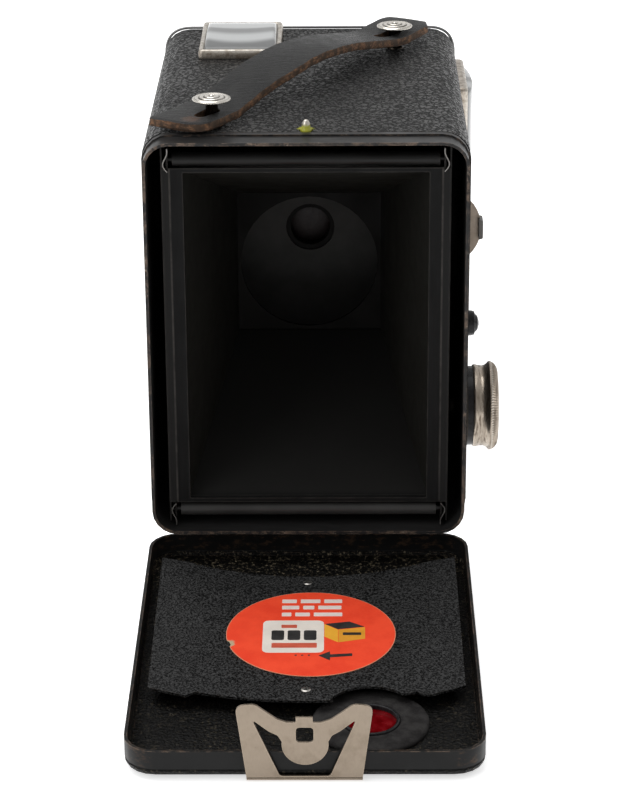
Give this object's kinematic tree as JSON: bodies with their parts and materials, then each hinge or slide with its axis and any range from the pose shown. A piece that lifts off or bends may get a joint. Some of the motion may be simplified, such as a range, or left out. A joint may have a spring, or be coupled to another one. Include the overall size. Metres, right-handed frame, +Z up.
{
  "type": "box camera",
  "caption": "Roll-film box camera, back door hanging open on its hinge: film gate and rollers, spool and winding knob, shutter, brilliant finders, carrying strap.",
  "frame": {"origin": "centre of the flat base, on its outer face", "axes": "+X towards the winding side, +Y out through the lens, +Z up; the back door is at -Y and hangs open"},
  "size_m": [0.0868, 0.2023, 0.1209],
  "materials": {
    "black_steel": "worn black enamel",
    "covering": "black grained leatherette",
    "front_enamel": "gloss black enamel",
    "matte_black": "matte black",
    "nickel": "dull nickel plate",
    "bright_nickel": "bright nickel plate",
    "blackened_brass": "blackened",
    "clear_glass": "polished",
    "mirror_glass": "silvered",
    "black_moulding": "satin",
    "strap_leather": "black leather with raw brown edges",
    "label_paper": "printed, matte",
    "red_celluloid": "clear red, gloss",
    "black_felt": "felt",
    "spring_steel": "satin"
  },
  "bodies": {
    "body": {"body_shell": "black_steel", "leatherette_cover": "covering", "front_panel": "front_enamel", "lens_trim_ring": "bright_nickel", "latch_stud": "bright_nickel", "film_carrier": "matte_black", "lower_left_spool_pin": "nickel", "upper_left_spool_pin": "nickel", "upper_right_spool_pin": "nickel", "winder_collar": "black_moulding", "lens_board": "matte_black", "lens_cell": "blackened_brass", "taking_lens": "clear_glass", "shutter_plate": "matte_black", "shutter_spring": "nickel", "top_finder_frame": "nickel", "top_finder_lens": "clear_glass", "top_finder_objective": "clear_glass", "top_finder_housing": "matte_black", "top_finder_mirror": "mirror_glass", "side_finder_frame": "nickel", "side_finder_lens": "clear_glass", "side_finder_objective": "clear_glass", "side_finder_housing": "matte_black", "side_finder_mirror": "mirror_glass", "carrying_strap": "strap_leather", "rear_strap_stud": "bright_nickel", "front_strap_stud": "bright_nickel", "hinge_leaf": "black_steel", "hinge_pin": "nickel"},
    "upper_roller": {"upper_roller": "matte_black"},
    "lower_roller": {"lower_roller": "matte_black"},
    "take_up_spool": {"take_up_spool": "matte_black"},
    "winder_bush": {"winder_bush": "nickel"},
    "winding_knob": {"winding_knob": "nickel"},
    "release_lever": {"release_lever": "nickel"},
    "shutter_disc": {"shutter_disc": "nickel"},
    "time_button": {"time_button": "black_moulding"},
    "door": {"door_pan": "black_steel", "door_leatherette": "covering", "red_window": "red_celluloid", "window_felt_ring": "black_felt", "plate_spring": "spring_steel", "latch_flange": "nickel"},
    "pressure_plate": {"pressure_plate": "matte_black", "upper_plate_rivet": "bright_nickel", "lower_plate_rivet": "bright_nickel", "label_disc": "label_paper"},
    "door_latch": {"door_latch": "nickel"}
  },
  "joints": [
    {"name": "door_hinge", "type": "hinge", "parent": "body", "child": "door", "pos_m": [0, -0.0464, -0.0008], "axis": [-1, 0, 0], "range_deg": [0, 92.5]},
    {"name": "latch_flex", "type": "hinge", "parent": "door", "child": "door_latch", "pos_m": [0, -0.14632, -0.01277], "axis": [1, 0, 0], "range_deg": [0, 12], "stiffness_Nm_per_rad": 0.08, "springref_deg": -1.72},
    {"name": "plate_press", "type": "slide", "parent": "door", "child": "pressure_plate", "axis": [0, 0.0436, -0.999], "range_m": [0, 0.0012], "stiffness_N_per_m": 1500, "springref_m": -0.0006, "deforming": ["plate_spring"]},
    {"name": "upper_roller_spin", "type": "hinge", "parent": "body", "child": "upper_roller", "pos_m": [0, -0.0478, 0.0932], "axis": [1, 0, 0], "continuous": true},
    {"name": "lower_roller_spin", "type": "hinge", "parent": "body", "child": "lower_roller", "pos_m": [0, -0.0478, 0.0049], "axis": [1, 0, 0], "continuous": true},
    {"name": "winder_pull", "type": "slide", "parent": "body", "child": "winder_bush", "axis": [1, 0, 0], "range_m": [0, 0.0065]},
    {"name": "winder_turn", "type": "hinge", "parent": "winder_bush", "child": "winding_knob", "pos_m": [0, -0.0015, 0.0129], "axis": [1, 0, 0], "continuous": true},
    {"name": "spool_turn", "type": "hinge", "parent": "body", "child": "take_up_spool", "pos_m": [0, -0.0015, 0.0129], "axis": [1, 0, 0], "continuous": true},
    {"name": "release_press", "type": "hinge", "parent": "body", "child": "release_lever", "pos_m": [0.035, 0.0439, 0.046], "axis": [0, 1, 0], "range_deg": [0, 20], "stiffness_Nm_per_rad": 0.02, "springref_deg": -11.46},
    {"name": "shutter_turn", "type": "hinge", "parent": "body", "child": "shutter_disc", "pos_m": [0.013, 0.0456, 0.0492], "axis": [0, 1, 0], "range_deg": [0, 100]},
    {"name": "time_button_push", "type": "slide", "parent": "body", "child": "time_button", "axis": [-1, 0, 0], "range_m": [0, 0.003], "stiffness_N_per_m": 250, "springref_m": -0.001}
  ],
  "couplings": [
    {"joint": "spool_turn", "follows": "winder_turn", "ratio": 1},
    {"joint": "shutter_turn", "follows": "release_press", "ratio": 5}
  ]
}
